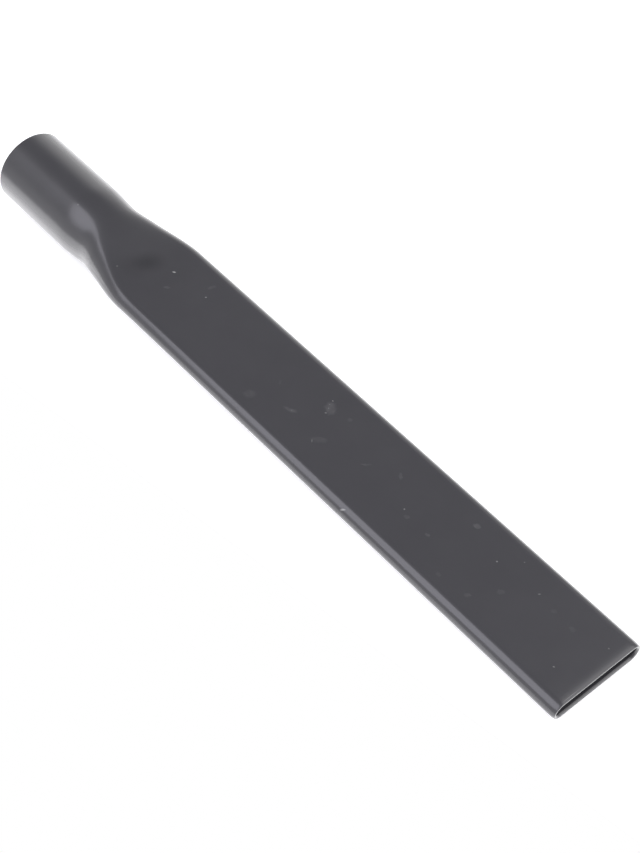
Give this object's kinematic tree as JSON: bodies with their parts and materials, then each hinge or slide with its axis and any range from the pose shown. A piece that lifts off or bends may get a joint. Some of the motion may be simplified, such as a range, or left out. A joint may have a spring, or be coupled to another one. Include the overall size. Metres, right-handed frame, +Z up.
{
  "type": "vacuum crevice tool",
  "caption": "One-piece moulded vacuum nozzle: a round hose socket that flattens through a flared shoulder into a long, flat, hollow blade with an open slot at its tip.",
  "frame": {"origin": "middle of the footprint, on the surface that the tool lies on", "axes": "+X along the tool from the socket to the slotted tip, +Y across the blade, +Z up"},
  "size_m": [0.3618, 0.0466, 0.0375],
  "materials": {
    "plastic": "dark grey moulded plastic with a soft sheen"
  },
  "bodies": {
    "root": {"crevice_tool": "plastic"}
  },
  "joints": []
}
